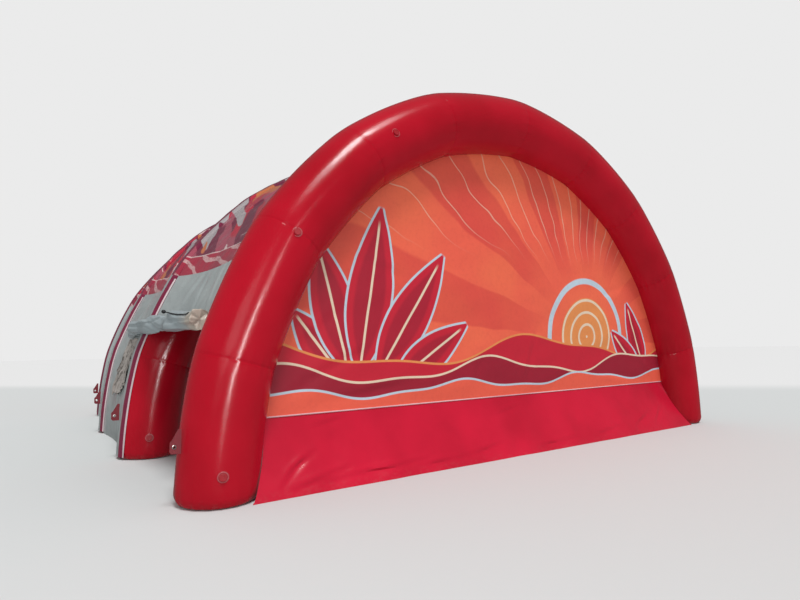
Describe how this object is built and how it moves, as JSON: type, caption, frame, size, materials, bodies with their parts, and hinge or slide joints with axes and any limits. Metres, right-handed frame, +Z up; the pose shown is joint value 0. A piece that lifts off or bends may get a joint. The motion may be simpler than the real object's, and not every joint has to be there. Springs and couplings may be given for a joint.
{
  "type": "inflatable igloo tent",
  "caption": "Inflatable arch tent with red air tubes, a printed canopy, closed end walls with a skirt and a rolled-up side door.",
  "frame": {"origin": "on the ground under the middle of the tent's outline", "axes": "+Y along the tent, from the printed front wall to the plain rear wall; +X to the right, seen from the front wall; +Z up"},
  "size_m": [10.3986, 10.7304, 5.4401],
  "materials": {
    "red_pvc": "glossy coated fabric",
    "salmon_print_cloth": "satin printed",
    "crimson_skirt_cloth": "satin coated",
    "plain_orange_cloth": "satin coated",
    "canopy_print_cloth": "glossy printed",
    "silver_grey_cloth": "satin coated",
    "dark_crimson_band": "satin coated",
    "door_flap_cloth": "satin coated",
    "black_cord": "braided",
    "black_toggle": "moulded",
    "tab_webbing": "woven",
    "valve_plastic": "moulded"
  },
  "bodies": {
    "root": {"anchor_tab_left_1": "tab_webbing", "anchor_tab_left_2": "tab_webbing", "anchor_tab_left_3": "tab_webbing", "anchor_tab_left_4": "tab_webbing", "anchor_tab_right_1": "tab_webbing", "anchor_tab_right_2": "tab_webbing", "anchor_tab_right_3": "tab_webbing", "anchor_tab_right_4": "tab_webbing", "arch_front": "red_pvc", "arch_rear": "red_pvc", "arch_second": "red_pvc", "arch_third": "red_pvc", "cover_band_second": "dark_crimson_band", "cover_band_third": "dark_crimson_band", "door_flap_end": "door_flap_cloth", "door_jamb": "silver_grey_cloth", "door_roll": "door_flap_cloth", "door_tie_cord": "black_cord", "door_tie_toggle": "black_toggle", "front_panel": "salmon_print_cloth", "front_skirt": "crimson_skirt_cloth", "rear_panel": "plain_orange_cloth", "rear_skirt": "crimson_skirt_cloth", "roof_bay_1": "canopy_print_cloth", "roof_bay_2": "canopy_print_cloth", "roof_bay_3": "canopy_print_cloth", "side_left_1": "silver_grey_cloth", "side_left_2": "silver_grey_cloth", "side_left_3": "silver_grey_cloth", "side_right_1": "silver_grey_cloth", "side_right_2": "silver_grey_cloth", "side_right_3": "silver_grey_cloth", "valve_patch_1": "valve_plastic", "valve_patch_2": "valve_plastic", "valve_patch_3": "valve_plastic", "valve_patch_4": "valve_plastic"}
  },
  "joints": []
}
